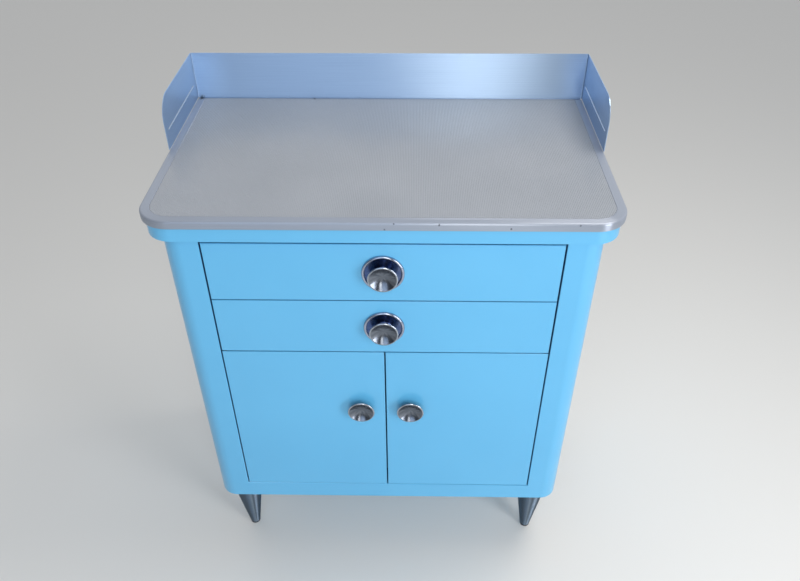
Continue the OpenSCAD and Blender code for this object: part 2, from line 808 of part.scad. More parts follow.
body_shell();
base_plate();
cabinet_floor();
back_panel();
cornice();
top_core();
top_tray();
top_mat();
splash_guard();
upper_cross_rail();
lower_cross_rail();
leg(-1, -1);  // front_left_leg
leg(1, -1);  // front_right_leg
leg(-1, 1);  // rear_left_leg
leg(1, 1);  // rear_right_leg
leg_glides();
leg_bolts();
deck_screws();
panel_screws();
splash_rivets();
shelf();
shelf_clips();
door_catches();
pivot_arms(-1);  // left_pivot_arms
pivot_arms(1);  // right_pivot_arms
runner(-1, z_upper);  // upper_left_runner
runner(1, z_upper);  // upper_right_runner
runner(-1, z_lower);  // lower_left_runner
runner(1, z_lower);  // lower_right_runner
fixed_roller(-1, z_upper);  // upper_left_roller
fixed_roller(1, z_upper);  // upper_right_roller
fixed_roller(-1, z_lower);  // lower_left_roller
fixed_roller(1, z_lower);  // lower_right_roller
drawer_front(z_upper);  // upper_drawer_front
drawer_box(z_upper);  // upper_drawer_box
drawer_rail(-1, z_upper);  // upper_left_rail
drawer_rail(1, z_upper);  // upper_right_rail
drawer_wheel(-1, z_upper);  // upper_left_wheel
drawer_wheel(1, z_upper);  // upper_right_wheel
saucer(z_upper);  // upper_saucer
knob(0, hub_h, z_upper + pull_z);  // upper_knob
knob_screw(0, hub_h, z_upper + pull_z);  // upper_knob_screw
drawer_front(z_lower);  // lower_drawer_front
drawer_box(z_lower);  // lower_drawer_box
drawer_rail(-1, z_lower);  // lower_left_rail
drawer_rail(1, z_lower);  // lower_right_rail
drawer_wheel(-1, z_lower);  // lower_left_wheel
drawer_wheel(1, z_lower);  // lower_right_wheel
saucer(z_lower);  // lower_saucer
knob(0, hub_h, z_lower + pull_z);  // lower_knob
knob_screw(0, hub_h, z_lower + pull_z);  // lower_knob_screw
door_skin(-1);  // left_door_skin
door_liner(-1);  // left_door_liner
knob(-knob_x, 0, knob_z);  // left_door_knob
knob_screw(-knob_x, 0, knob_z);  // left_door_screw
door_skin(1);  // right_door_skin
door_liner(1);  // right_door_liner
knob(knob_x, 0, knob_z);  // right_door_knob
knob_screw(knob_x, 0, knob_z);  // right_door_screw
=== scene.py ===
import json
import math

import bmesh
import bpy
from mathutils import Matrix, Vector


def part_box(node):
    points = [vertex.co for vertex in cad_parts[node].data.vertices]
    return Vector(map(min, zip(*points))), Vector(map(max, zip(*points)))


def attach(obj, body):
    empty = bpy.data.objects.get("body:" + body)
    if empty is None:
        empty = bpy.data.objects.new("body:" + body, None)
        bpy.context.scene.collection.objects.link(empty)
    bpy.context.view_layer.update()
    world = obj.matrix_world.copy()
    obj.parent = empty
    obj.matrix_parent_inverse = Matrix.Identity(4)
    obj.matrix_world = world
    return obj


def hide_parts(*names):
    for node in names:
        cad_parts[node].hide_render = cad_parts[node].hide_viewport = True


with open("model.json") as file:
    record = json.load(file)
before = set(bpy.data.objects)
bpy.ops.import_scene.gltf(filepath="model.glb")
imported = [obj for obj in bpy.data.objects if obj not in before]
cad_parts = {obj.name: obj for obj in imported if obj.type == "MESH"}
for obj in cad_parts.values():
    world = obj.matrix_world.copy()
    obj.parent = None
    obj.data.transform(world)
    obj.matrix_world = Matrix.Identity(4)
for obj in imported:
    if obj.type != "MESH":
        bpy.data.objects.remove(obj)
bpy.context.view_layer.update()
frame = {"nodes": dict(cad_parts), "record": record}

MM = 0.001

# Camera, as solved from the straight edges of the photographed cabinet
PHOTO_W = 800
FOCAL_PX = 739.3
SENSOR_W = 36.0
CAMERA_PLACE = (0.0459, -1.1590, 1.5056)
CAMERA_PITCH = math.radians(-38.62)
CAMERA_ROLL = math.radians(0.26)
CAMERA_YAW = math.radians(1.09)

# Welding and rounding of the CAD meshes
WELD = 0.001 * MM
NEAR = 2 * WELD
FLAT = math.radians(0.4)
SHARP = math.radians(30)
SMOOTH = math.radians(38)

# Radii of folds and of cut sheet edges
FOLD_R = 1.8 * MM
RIM_R = 4.0 * MM
BAND_R = 2.2 * MM
CUT_R = 0.4 * MM
FINE_R = 0.25 * MM

# Pulls: what the CAD boxes of the knob and the saucer don't tell
DISH_DEPTH = 9.0 * MM
KNOB_RIM = 2.6 * MM
NECK_R = 8.5 * MM
BEAD_R = 2.8 * MM
SAUCER_FLOOR = 1.5 * MM
HUB_H = 4.5 * MM
KNOB_STEPS = 96

# Painted reflection on the pulls, a darker base that stands for the dark floor and the blue front they
# reflect: from 0 for bright metal to 1 for the darkest, and how much of it wear takes off
HOLLOW_REFLECTION_DARK = 0.80
BACK_REFLECTION_DARK = 0.70
RIM_WEAR = 0.50
SAUCER_REFLECTION_DARK = 0.88
BEAD_WEAR = 0.48

# Painted shade in the gaps round the fronts: how it fades towards the face, and the share taken off edges that
# look up, where light falls on them
GAP_SHADE_FADE = 1.3
LIT_EDGE_SHARE = 0.7
HEAD_GAP_SHADE = 4.0 * MM
GAP_SHADE_REACH = 0.05 * MM

# Legs and slide rollers
LEG_WALL = 1.5 * MM
LEG_FOOT_R = 11.0 * MM
GLIDE_R = 10.7 * MM
GLIDE_ROUND = 1.5 * MM
TREAD_ROUND = 1.0 * MM
AXLE_R = 3.05 * MM
LEG_STEPS = 72
GLIDE_STEPS = 40
ROLLER_STEPS = 48

# Ribs of the worktop mat. They are about as fine as the camera can show.
RIB_PITCH = 2.8 * MM
RIB_W = 1.7 * MM
RIB_H = 0.5 * MM
RIB_CROWN = 0.45
MAT_CORNER_R = 35.7 * MM

# Heads of screws, rivets and bolts
SCREW_HEAD_H = 2.2 * MM
SCREW_SLOT = 1.0 * MM
RIVET_HEAD_H = 1.1 * MM
BOLT_HEAD_H = 5.3 * MM

# Nicks and old dirt on the tray and splash guard: place and size
DIRT = [(88 * MM, -224 * MM, 886 * MM, 2.5 * MM), (197 * MM, -225 * MM, 880 * MM, 2.0 * MM),
        (5 * MM, -225 * MM, 877 * MM, 2.0 * MM), (19 * MM, -224 * MM, 887 * MM, 1.6 * MM),
        (301 * MM, -224 * MM, 886 * MM, 2.2 * MM), (-148 * MM, 220 * MM, 889 * MM, 4.0 * MM),
        (-372 * MM, 220 * MM, 889 * MM, 7.0 * MM)]

NODES = frame["nodes"]
BODY_OF = {n: b for b, members in frame["record"]["behaviour"]["bodies"].items() for n in members}
SLOT_OF = {s["node"]: s["material_slot"] for s in frame["record"]["subparts"]}
SIDES = ("left", "right")
LEVELS = ("upper", "lower")

# Worktop mat: its box and the middle of its front corners' arcs
mat_low, mat_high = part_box("top_mat")
CORNER_X = mat_high.x - MAT_CORNER_R
CORNER_Y = mat_low.y + MAT_CORNER_R


def linear(code):
    """An sRGB hex colour as linear RGBA."""
    parts = [int(code[i:i + 2], 16) / 255 for i in (1, 3, 5)]
    return [p / 12.92 if p <= 0.04045 else ((p + 0.055) / 1.055) ** 2.4 for p in parts] + [1.0]


def add(tree, kind, inputs=None, **settings):
    """Adds one node. An input is a value or the output socket of another node."""
    made = tree.nodes.new(kind)
    for name, value in settings.items():
        setattr(made, name, value)
    for name, value in (inputs or {}).items():
        if isinstance(value, bpy.types.NodeSocket):
            tree.links.new(value, made.inputs[name])
        else:
            made.inputs[name].default_value = value
    return made


def finish_named(name, **values):
    """A new material with one principled shader, whose even values are set on its own sockets."""
    finish = bpy.data.materials.new(name)
    finish.use_nodes = True
    tree = finish.node_tree
    tree.nodes.clear()
    inputs = {key.replace("_", " "): value for key, value in values.items()}
    shader = add(tree, "ShaderNodeBsdfPrincipled", inputs)
    add(tree, "ShaderNodeOutputMaterial", {"Surface": shader.outputs[0]})
    return finish, tree, shader


# Sockets of a colour mix node and of a map range node
MIX_A, MIX_B, MIXED = 6, 7, 2
VALUE, FROM_LOW, FROM_HIGH, TO_LOW, TO_HIGH = range(5)

# Tool marks of turned pieces, as shifts round the axis and lines along the profile. Rings come out
# about 0.75 mm apart in a knob's dish and 2.5 mm on a leg, coarser than real ones, so that they show.
SPUN_RINGS = (6.0, 90.0, 1.0)
SPUN_RAYS = (20.0, 4.0, 1.0)
LEG_RINGS = (4.0, 120.0, 1.0)

# Brushed lines 160 mm long and 1.2 mm apart, coarser than real ones, so that they show
BRUSH_LINES = (1 / (160 * MM), 1 / (1.2 * MM), 1.0)


def baked_enamel():
    """Stoved semi-gloss enamel on sheet steel: an even sky blue, a soft sheen, a faint orange-peel
    skin, slow shifts of shade, and painted shade, dark and dull, in the gaps round the fronts."""
    finish, tree, shader = finish_named("baked_enamel", Coat_Weight=0.25, Coat_Roughness=0.12)
    place = add(tree, "ShaderNodeTexCoord").outputs["Object"]
    drift = add(tree, "ShaderNodeTexNoise", {"Vector": place, "Scale": 1 / (240 * MM), "Detail": 3.0})
    clean = add(tree, "ShaderNodeMix", {0: drift.outputs[0], MIX_A: linear("#58A9D4"),
                                        MIX_B: linear("#62B4DE")}, data_type="RGBA")
    # Painted shade: this mark darkens the paint towards a dark navy and dulls it on edges that sink into the
    # gaps round the fronts, less on edges that look up
    seam = add(tree, "ShaderNodeAttribute", attribute_name="seam").outputs["Fac"]
    shade = add(tree, "ShaderNodeMix", {0: seam, MIX_A: clean.outputs[MIXED],
                                        MIX_B: linear("#07396F")}, data_type="RGBA")
    scuff = add(tree, "ShaderNodeTexNoise", {"Vector": place, "Scale": 1 / (35 * MM), "Detail": 1.0})
    gloss = add(tree, "ShaderNodeMapRange", {VALUE: scuff.outputs[0], FROM_LOW: 0.3, FROM_HIGH: 0.7,
                                             TO_LOW: 0.29, TO_HIGH: 0.37})
    peel = add(tree, "ShaderNodeTexNoise", {"Vector": place, "Scale": 1 / (4 * MM), "Detail": 1.0})
    skin = add(tree, "ShaderNodeBump", {"Height": peel.outputs[0], "Strength": 0.06, "Distance": 0.1 * MM})
    dull = add(tree, "ShaderNodeMath", {0: seam, 1: 0.5, 2: gloss.outputs[0]}, operation="MULTIPLY_ADD")
    tree.links.new(shade.outputs[MIXED], shader.inputs["Base Color"])
    tree.links.new(dull.outputs[0], shader.inputs["Roughness"])
    tree.links.new(skin.outputs[0], shader.inputs["Normal"])
    return finish


def brushed_stainless(name, dark, pale, haze):
    """Stainless sheet with a brushed satin finish: cool grey, long fine lines, lights that spread
    across the lines, a dull haze over the metal, and a few dark nicks and spots of old dirt."""
    finish, tree, shader = finish_named(name, Metallic=1 - haze, Anisotropic=0.94, Anisotropic_Rotation=0.25)
    run = add(tree, "ShaderNodeUVMap", uv_map="grain").outputs[0]
    lie = add(tree, "ShaderNodeTangent", direction_type="UV_MAP", uv_map="grain")
    along = add(tree, "ShaderNodeVectorMath", {0: run, 1: BRUSH_LINES}, operation="MULTIPLY")
    lines = add(tree, "ShaderNodeTexNoise", {"Vector": along.outputs[0], "Scale": 1.0, "Detail": 4.0})
    place = add(tree, "ShaderNodeTexCoord").outputs["Object"]
    cloud = add(tree, "ShaderNodeTexNoise", {"Vector": place, "Scale": 1 / (120 * MM), "Detail": 4.0})
    clean = add(tree, "ShaderNodeMix", {0: lines.outputs[0], MIX_A: linear(dark),
                                        MIX_B: linear(pale)}, data_type="RGBA")
    ragged = add(tree, "ShaderNodeTexNoise", {"Vector": place, "Scale": 1 / (2 * MM), "Detail": 4.0})
    dirt = None
    for x, y, z, size in DIRT:
        gap = add(tree, "ShaderNodeVectorMath", {0: place, 1: (x, y, z)}, operation="DISTANCE")
        near = add(tree, "ShaderNodeMapRange", {VALUE: gap.outputs["Value"], FROM_LOW: 0.0,
                                                FROM_HIGH: 2 * size, TO_LOW: 1.0, TO_HIGH: 0.0})
        total = add(tree, "ShaderNodeMath", {0: near.outputs[0], 1: dirt or 0.0}, operation="MAXIMUM")
        dirt = total.outputs[0]
    patchy = add(tree, "ShaderNodeMath", {0: dirt, 1: ragged.outputs[0]}, operation="ADD")
    stain = add(tree, "ShaderNodeMapRange", {VALUE: patchy.outputs[0], FROM_LOW: 1.0, FROM_HIGH: 1.3,
                                             TO_HIGH: 0.85})
    shade = add(tree, "ShaderNodeMix", {0: stain.outputs[0], MIX_A: clean.outputs[MIXED],
                                        MIX_B: linear("#2B3036")}, data_type="RGBA")
    both = add(tree, "ShaderNodeMath", {0: lines.outputs[0], 1: cloud.outputs[0]}, operation="ADD")
    gloss = add(tree, "ShaderNodeMapRange", {VALUE: both.outputs[0], FROM_LOW: 0.6, FROM_HIGH: 1.4,
                                             TO_LOW: 0.30, TO_HIGH: 0.38})
    tree.links.new(shade.outputs[MIXED], shader.inputs["Base Color"])
    tree.links.new(gloss.outputs[0], shader.inputs["Roughness"])
    tree.links.new(lie.outputs[0], shader.inputs["Tangent"])
    return finish


def spun_steel(name, dark):
    """Knobs and saucers spun from bright steel: fine rings round the axis, so that lights draw out
    into rays across them, and painted reflection, a dark base in the hollow of each piece that stands for the
    dark floor and the blue front it reflects."""
    finish, tree, shader = finish_named(name, Metallic=1.0, Anisotropic=0.75, Anisotropic_Rotation=0.25)
    run = add(tree, "ShaderNodeUVMap", uv_map="grain").outputs[0]
    lie = add(tree, "ShaderNodeTangent", direction_type="UV_MAP", uv_map="grain")
    rings = add(tree, "ShaderNodeVectorMath", {0: run, 1: SPUN_RINGS}, operation="MULTIPLY")
    lines = add(tree, "ShaderNodeTexNoise", {"Vector": rings.outputs[0], "Scale": 1.0, "Detail": 3.0})
    fan = add(tree, "ShaderNodeVectorMath", {0: run, 1: SPUN_RAYS}, operation="MULTIPLY")
    rays = add(tree, "ShaderNodeTexNoise", {"Vector": fan.outputs[0], "Scale": 1.0, "Detail": 1.0})
    # Painted reflection: this mark darkens the metal where a pull would reflect the dark floor and the blue
    # front
    painted_reflection = add(tree, "ShaderNodeAttribute", attribute_name="painted_reflection").outputs["Fac"]
    bright = add(tree, "ShaderNodeMix", {0: lines.outputs[0], MIX_A: linear("#B8C0CC"),
                                         MIX_B: linear("#DCE1E8")}, data_type="RGBA")
    uneven = add(tree, "ShaderNodeMapRange", {VALUE: rays.outputs[0], FROM_LOW: 0.3, FROM_HIGH: 0.7,
                                              TO_LOW: -0.08, TO_HIGH: 0.08})
    share = add(tree, "ShaderNodeMath", {0: painted_reflection, 1: uneven.outputs[0]}, operation="ADD", use_clamp=True)
    shade = add(tree, "ShaderNodeMix", {0: share.outputs[0], MIX_A: bright.outputs[MIXED],
                                        MIX_B: linear(dark)}, data_type="RGBA")
    gloss = add(tree, "ShaderNodeMapRange", {VALUE: lines.outputs[0], FROM_LOW: 0.3, FROM_HIGH: 0.7,
                                             TO_LOW: 0.17, TO_HIGH: 0.26})
    tree.links.new(shade.outputs[MIXED], shader.inputs["Base Color"])
    tree.links.new(gloss.outputs[0], shader.inputs["Roughness"])
    tree.links.new(lie.outputs[0], shader.inputs["Tangent"])
    return finish


def satin_leg_metal():
    """Conical legs turned from dull steel: fine rings round the cone, so that a light draws out into
    one long streak down each leg."""
    finish, tree, shader = finish_named("satin_leg_metal", Metallic=1.0, Anisotropic=1.0,
                                        Anisotropic_Rotation=0.25)
    run = add(tree, "ShaderNodeUVMap", uv_map="grain").outputs[0]
    lie = add(tree, "ShaderNodeTangent", direction_type="UV_MAP", uv_map="grain")
    rings = add(tree, "ShaderNodeVectorMath", {0: run, 1: LEG_RINGS}, operation="MULTIPLY")
    lines = add(tree, "ShaderNodeTexNoise", {"Vector": rings.outputs[0], "Scale": 1.0, "Detail": 3.0})
    shade = add(tree, "ShaderNodeMix", {0: lines.outputs[0], MIX_A: linear("#56636F"),
                                        MIX_B: linear("#7C8A98")}, data_type="RGBA")
    gloss = add(tree, "ShaderNodeMapRange", {VALUE: lines.outputs[0], FROM_LOW: 0.3, FROM_HIGH: 0.7,
                                             TO_LOW: 0.50, TO_HIGH: 0.56})
    tree.links.new(shade.outputs[MIXED], shader.inputs["Base Color"])
    tree.links.new(gloss.outputs[0], shader.inputs["Roughness"])
    tree.links.new(lie.outputs[0], shader.inputs["Tangent"])
    return finish


def zinc_plate():
    """Zinc-plated steel of slides, arms, clips and screws: pale blue-grey with cloudy patches."""
    finish, tree, shader = finish_named("zinc_plate", Metallic=1.0)
    place = add(tree, "ShaderNodeTexCoord").outputs["Object"]
    cloud = add(tree, "ShaderNodeTexNoise", {"Vector": place, "Scale": 1 / (9 * MM), "Detail": 5.0})
    shade = add(tree, "ShaderNodeMix", {0: cloud.outputs[0], MIX_A: linear("#8E959C"),
                                        MIX_B: linear("#BAC1C6")}, data_type="RGBA")
    gloss = add(tree, "ShaderNodeMapRange", {VALUE: cloud.outputs[0], FROM_LOW: 0.3, FROM_HIGH: 0.7,
                                             TO_LOW: 0.28, TO_HIGH: 0.45})
    tree.links.new(shade.outputs[MIXED], shader.inputs["Base Color"])
    tree.links.new(gloss.outputs[0], shader.inputs["Roughness"])
    return finish


def ribbed_rubber():
    """Moulded grey rubber with a dull sheen: dust in slow patches and a fine grain on the ribs."""
    finish, tree, shader = finish_named("ribbed_rubber", Specular_IOR_Level=0.9)
    place = add(tree, "ShaderNodeTexCoord").outputs["Object"]
    dust = add(tree, "ShaderNodeTexNoise", {"Vector": place, "Scale": 1 / (170 * MM), "Detail": 2.0})
    grain = add(tree, "ShaderNodeTexNoise", {"Vector": place, "Scale": 1 / (3 * MM), "Detail": 3.0})
    mixed = add(tree, "ShaderNodeMath", {0: grain.outputs[0], 1: 0.35, 2: dust.outputs[0]},
                operation="MULTIPLY_ADD")
    share = add(tree, "ShaderNodeMapRange", {VALUE: mixed.outputs[0], FROM_LOW: 0.3, FROM_HIGH: 1.1})
    shade = add(tree, "ShaderNodeMix", {0: share.outputs[0], MIX_A: linear("#868C94"),
                                        MIX_B: linear("#989DA4")}, data_type="RGBA")
    gloss = add(tree, "ShaderNodeMapRange", {VALUE: dust.outputs[0], FROM_LOW: 0.1, FROM_HIGH: 0.9,
                                             TO_LOW: 0.29, TO_HIGH: 0.33})
    tree.links.new(shade.outputs[MIXED], shader.inputs["Base Color"])
    tree.links.new(gloss.outputs[0], shader.inputs["Roughness"])
    return finish


def hardboard():
    """Pressed brown fibre board: a matt face with short fibres and darker flecks."""
    finish, tree, shader = finish_named("hardboard", Roughness=0.75)
    place = add(tree, "ShaderNodeTexCoord").outputs["Object"]
    fibre = add(tree, "ShaderNodeTexNoise", {"Vector": place, "Scale": 1 / (2.5 * MM), "Detail": 6.0})
    shade = add(tree, "ShaderNodeMix", {0: fibre.outputs[0], MIX_A: linear("#7A5A3A"),
                                        MIX_B: linear("#B08A5E")}, data_type="RGBA")
    tree.links.new(shade.outputs[MIXED], shader.inputs["Base Color"])
    return finish


def moulded_plastic(name, dark, pale, roughness):
    """Moulded plastic with an even satin face and a fine spark-eroded grain."""
    finish, tree, shader = finish_named(name, Roughness=roughness)
    place = add(tree, "ShaderNodeTexCoord").outputs["Object"]
    cloud = add(tree, "ShaderNodeTexNoise", {"Vector": place, "Scale": 1 / (6 * MM), "Detail": 4.0})
    shade = add(tree, "ShaderNodeMix", {0: cloud.outputs[0], MIX_A: linear(dark),
                                        MIX_B: linear(pale)}, data_type="RGBA")
    pits = add(tree, "ShaderNodeTexNoise", {"Vector": place, "Scale": 1 / (0.6 * MM)})
    skin = add(tree, "ShaderNodeBump", {"Height": pits.outputs[0], "Strength": 0.2, "Distance": 0.05 * MM})
    tree.links.new(shade.outputs[MIXED], shader.inputs["Base Color"])
    tree.links.new(skin.outputs[0], shader.inputs["Normal"])
    return finish


FINISHES = {
    "paint": baked_enamel(),
    "stainless": brushed_stainless("brushed_stainless", "#8A929F", "#9FA6B2", 0.6),
    "hardware": spun_steel("spun_steel", "#343D4B"),
    "steel": zinc_plate(),
    "mat": ribbed_rubber(),
    "board": hardboard(),
    "nylon": moulded_plastic("moulded_nylon", "#D3D0C6", "#E6E3DA", 0.42),
    "dark": moulded_plastic("moulded_rubber", "#26282C", "#3A3D42", 0.6),
}
# Painted reflection: the saucers' dark blue stands for the blue front in shade that they reflect
SAUCER_FINISH = spun_steel("blued_spun_steel", "#2F4A7E")
LEG_FINISH = satin_leg_metal()
# Painted light: the guard's copy of the stainless is paler and bluer than the tray's, for the bluish daylight
# its face reflects
GUARD_FINISH = brushed_stainless("brushed_guard_sheet", "#A2BBDA", "#B8D0EA", 0.08)


def linked(name, mesh):
    """A new object at the origin that holds the mesh."""
    piece = bpy.data.objects.new(name, mesh)
    bpy.context.scene.collection.objects.link(piece)
    return piece


def stand_for(piece, node, finish=None):
    """The piece takes the place of a CAD node: its body, its material slot and its finish."""
    piece.data.materials.clear()
    piece.data.materials.append(finish or FINISHES[SLOT_OF[node]])
    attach(piece, BODY_OF[node])
    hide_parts(node)
    return piece


def baked(piece):
    """Turns what the modifiers make into the object's plain mesh."""
    bpy.context.view_layer.update()
    seen = piece.evaluated_get(bpy.context.evaluated_depsgraph_get())
    mesh = bpy.data.meshes.new_from_object(seen)
    piece.modifiers.clear()
    piece.data = mesh
    return piece


def ease(value, low, high):
    """Rises smoothly from 0 at the low value to 1 at the high one."""
    share = min(1.0, max(0.0, (value - low) / (high - low)))
    return share * share * (3 - 2 * share)


def mark(piece, name, amount):
    """Writes a point attribute for a finish to read. The amount is found from each vertex."""
    values = piece.data.attributes.new(name, "FLOAT", "POINT")
    for i, v in enumerate(piece.data.vertices):
        values.data[i].value = amount(v)


def welded(node):
    """A copy of a CAD node's mesh as closed surfaces whose flat stretches are single faces."""
    solid = bmesh.new()
    solid.from_mesh(NODES[node].data)
    bmesh.ops.remove_doubles(solid, verts=solid.verts, dist=WELD)
    bmesh.ops.dissolve_limit(solid, angle_limit=FLAT, verts=solid.verts, edges=solid.edges)
    return solid


def round_edges(solid, radius, steps, wanted=lambda edge: True):
    """Rounds the sharp outward edges that are wanted."""
    edges = [e for e in solid.edges if e.is_manifold and e.is_convex
             and e.calc_face_angle() > SHARP and wanted(e)]
    bmesh.ops.bevel(solid, geom=edges, offset=radius, segments=steps, profile=0.5, affect="EDGES",
                    clamp_overlap=True)


def rim_run(x, y):
    """How far a point of a flat top lies along the worktop's rim, round its front corners, and how
    far out."""
    aside, ahead = abs(x) - CORNER_X, CORNER_Y - y
    if aside > 0 and ahead > 0:
        return math.copysign(CORNER_X + MAT_CORNER_R * math.atan2(aside, ahead), x), math.hypot(aside, ahead)
    if aside > 0:
        return math.copysign(CORNER_X + MAT_CORNER_R * math.pi / 2 - ahead, x), aside
    return x, ahead


def lay_grain(mesh):
    """Writes the UV map that brushed lines follow, in metres: level on walls, and round the rim on
    flat tops."""
    layer = mesh.uv_layers.new(name="grain")
    for face in mesh.polygons:
        for i in face.loop_indices:
            x, y, z = mesh.vertices[mesh.loops[i].vertex_index].co
            if abs(face.normal.z) > 0.7:
                layer.data[i].uv = rim_run(x, y)
            else:
                layer.data[i].uv = (y, z) if abs(face.normal.x) > abs(face.normal.y) else (x, z)


def sheet_piece(node, *rounds, finish=None):
    """The finished form of a folded or cut sheet: its CAD mesh with rounded edges. Each round is a
    radius, a number of steps and the test of an edge."""
    solid = welded(node)
    for radius, steps, wanted in rounds:
        round_edges(solid, radius, steps, wanted)
    mesh = bpy.data.meshes.new(node + "_finished")
    solid.to_mesh(mesh)
    solid.free()
    mesh.shade_smooth()
    mesh.set_sharp_from_angle(angle=SMOOTH)
    piece = linked(node + "_finished", mesh)
    weigh = piece.modifiers.new("even_faces", "WEIGHTED_NORMAL")
    weigh.keep_sharp = True
    baked(piece)
    if SLOT_OF[node] == "stainless":
        lay_grain(piece.data)
    return stand_for(piece, node, finish)


def level_edge(z):
    """Tests whether an edge lies at a height and bounds a face that looks outwards."""
    def test(edge):
        if any(abs(v.co.z - z) > NEAR for v in edge.verts):
            return False
        middle = (edge.verts[0].co + edge.verts[1].co) / 2
        walls = [f.normal for f in edge.link_faces if abs(f.normal.z) < 0.5]
        return any(n.x * middle.x + n.y * middle.y > 0 for n in walls)
    return test


def inner_level_edge(z):
    """Tests whether an edge lies at a height and bounds a face that looks inwards."""
    outward = level_edge(z)
    return lambda edge: all(abs(v.co.z - z) < NEAR for v in edge.verts) and not outward(edge)


def front_edge(low, high):
    """Tests whether an edge bounds the front of a box."""
    def on_rim(p):
        sides = (abs(p.x - low.x), abs(p.x - high.x), abs(p.z - low.z), abs(p.z - high.z))
        return abs(p.y - low.y) < NEAR and min(sides) < NEAR
    return lambda edge: all(on_rim(v.co) for v in edge.verts)


# Folded and cut sheet pieces
body_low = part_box("body_shell")[0]
floor_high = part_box("cabinet_floor")[1]
open_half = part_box("upper_cross_rail")[1].x
header_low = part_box("upper_drawer_front")[1].z


def frame_edge(edge):
    """Tests whether an edge of the body is the fold round the front opening."""
    middle = (edge.verts[0].co + edge.verts[1].co) / 2
    beside = abs(middle.x) < open_half + FOLD_R
    level = floor_high.z - FOLD_R < middle.z < header_low + 2 * FOLD_R
    return beside and level and all(abs(v.co.y - body_low.y) < NEAR for v in edge.verts)


def front_gap_shade(v):
    """Painted shade on the turned-back edges of a front, deeper into the gap, less where an edge looks up and
    light falls on it.
    """
    lit_off = LIT_EDGE_SHARE * ease(v.normal.z, 0.1, 0.7)
    depth = min(1.0, max(0.0, (v.co.y - body_low.y) / FOLD_R))
    return (1 - lit_off) * depth ** GAP_SHADE_FADE


def frame_gap_shade(v):
    """Painted shade on the body's edges round the front opening."""
    beside = abs(v.co.x) < open_half + GAP_SHADE_REACH
    level = floor_high.z - GAP_SHADE_REACH < v.co.z < header_low + HEAD_GAP_SHADE
    return front_gap_shade(v) if beside and level else 0.0


body = sheet_piece("body_shell", (FOLD_R, 3, frame_edge), (2 * CUT_R, 2, level_edge(body_low.z)))
# Painted shade on the body's edges round the front opening, in the gaps
mark(body, "seam", frame_gap_shade)
band_low, band_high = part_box("cornice")
sheet_piece("cornice", (BAND_R, 4, level_edge(band_low.z)), (BAND_R, 4, level_edge(band_high.z)))
tray_low, tray_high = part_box("top_tray")
sheet_piece("top_tray", (RIM_R, 6, level_edge(tray_high.z)), (2 * CUT_R, 2, level_edge(tray_low.z)),
            (2 * CUT_R, 3, inner_level_edge(tray_high.z)))
sheet_piece("splash_guard", (CUT_R, 2, lambda edge: True), finish=GUARD_FINISH)
# Painted shade on the edges of the drawer fronts and door skins, in the gaps round them
for level in LEVELS:
    name = level + "_drawer_front"
    mark(sheet_piece(name, (FOLD_R, 4, front_edge(*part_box(name)))), "seam", front_gap_shade)
for side in SIDES:
    name = side + "_door_skin"
    mark(sheet_piece(name, (FOLD_R, 4, front_edge(*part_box(name)))), "seam", front_gap_shade)
PLAIN_SHEETS = ["base_plate", "cabinet_floor", "back_panel", "upper_cross_rail", "lower_cross_rail", "shelf",
                "shelf_clips", "door_catches"]
PLAIN_SHEETS += [f"{side}_{part}" for side in SIDES for part in ("pivot_arms", "door_liner")]
PLAIN_SHEETS += [f"{level}_{side}_{part}" for level in LEVELS for side in SIDES for part in ("runner", "rail")]
PLAIN_SHEETS += [f"{level}_drawer_box" for level in LEVELS]
for node in PLAIN_SHEETS:
    sheet_piece(node, (FINE_R, 2, lambda edge: True))

# The board inside the worktop keeps its CAD form
core = NODES["top_core"]
core.data.materials.clear()
core.data.materials.append(FINISHES["board"])


def new_tree(name, *inputs):
    """A geometry tree with its input and output nodes. Each input is a name and a socket type."""
    tree = bpy.data.node_groups.new(name, "GeometryNodeTree")
    tree.interface.new_socket("Geometry", in_out="INPUT", socket_type="NodeSocketGeometry")
    tree.interface.new_socket("Geometry", in_out="OUTPUT", socket_type="NodeSocketGeometry")
    for label, kind in inputs:
        tree.interface.new_socket(label, in_out="INPUT", socket_type="NodeSocket" + kind)
    return tree, add(tree, "NodeGroupInput").outputs


def run_tree(piece, tree, **values):
    """Runs a geometry tree on an object with named inputs and keeps the result as its mesh."""
    modifier = piece.modifiers.new(tree.name, "NODES")
    modifier.node_group = tree
    for item in tree.interface.items_tree:
        key = item.name.replace(" ", "_").lower()
        if item.in_out == "INPUT" and key in values:
            modifier[item.identifier] = values[key]
    return baked(piece)


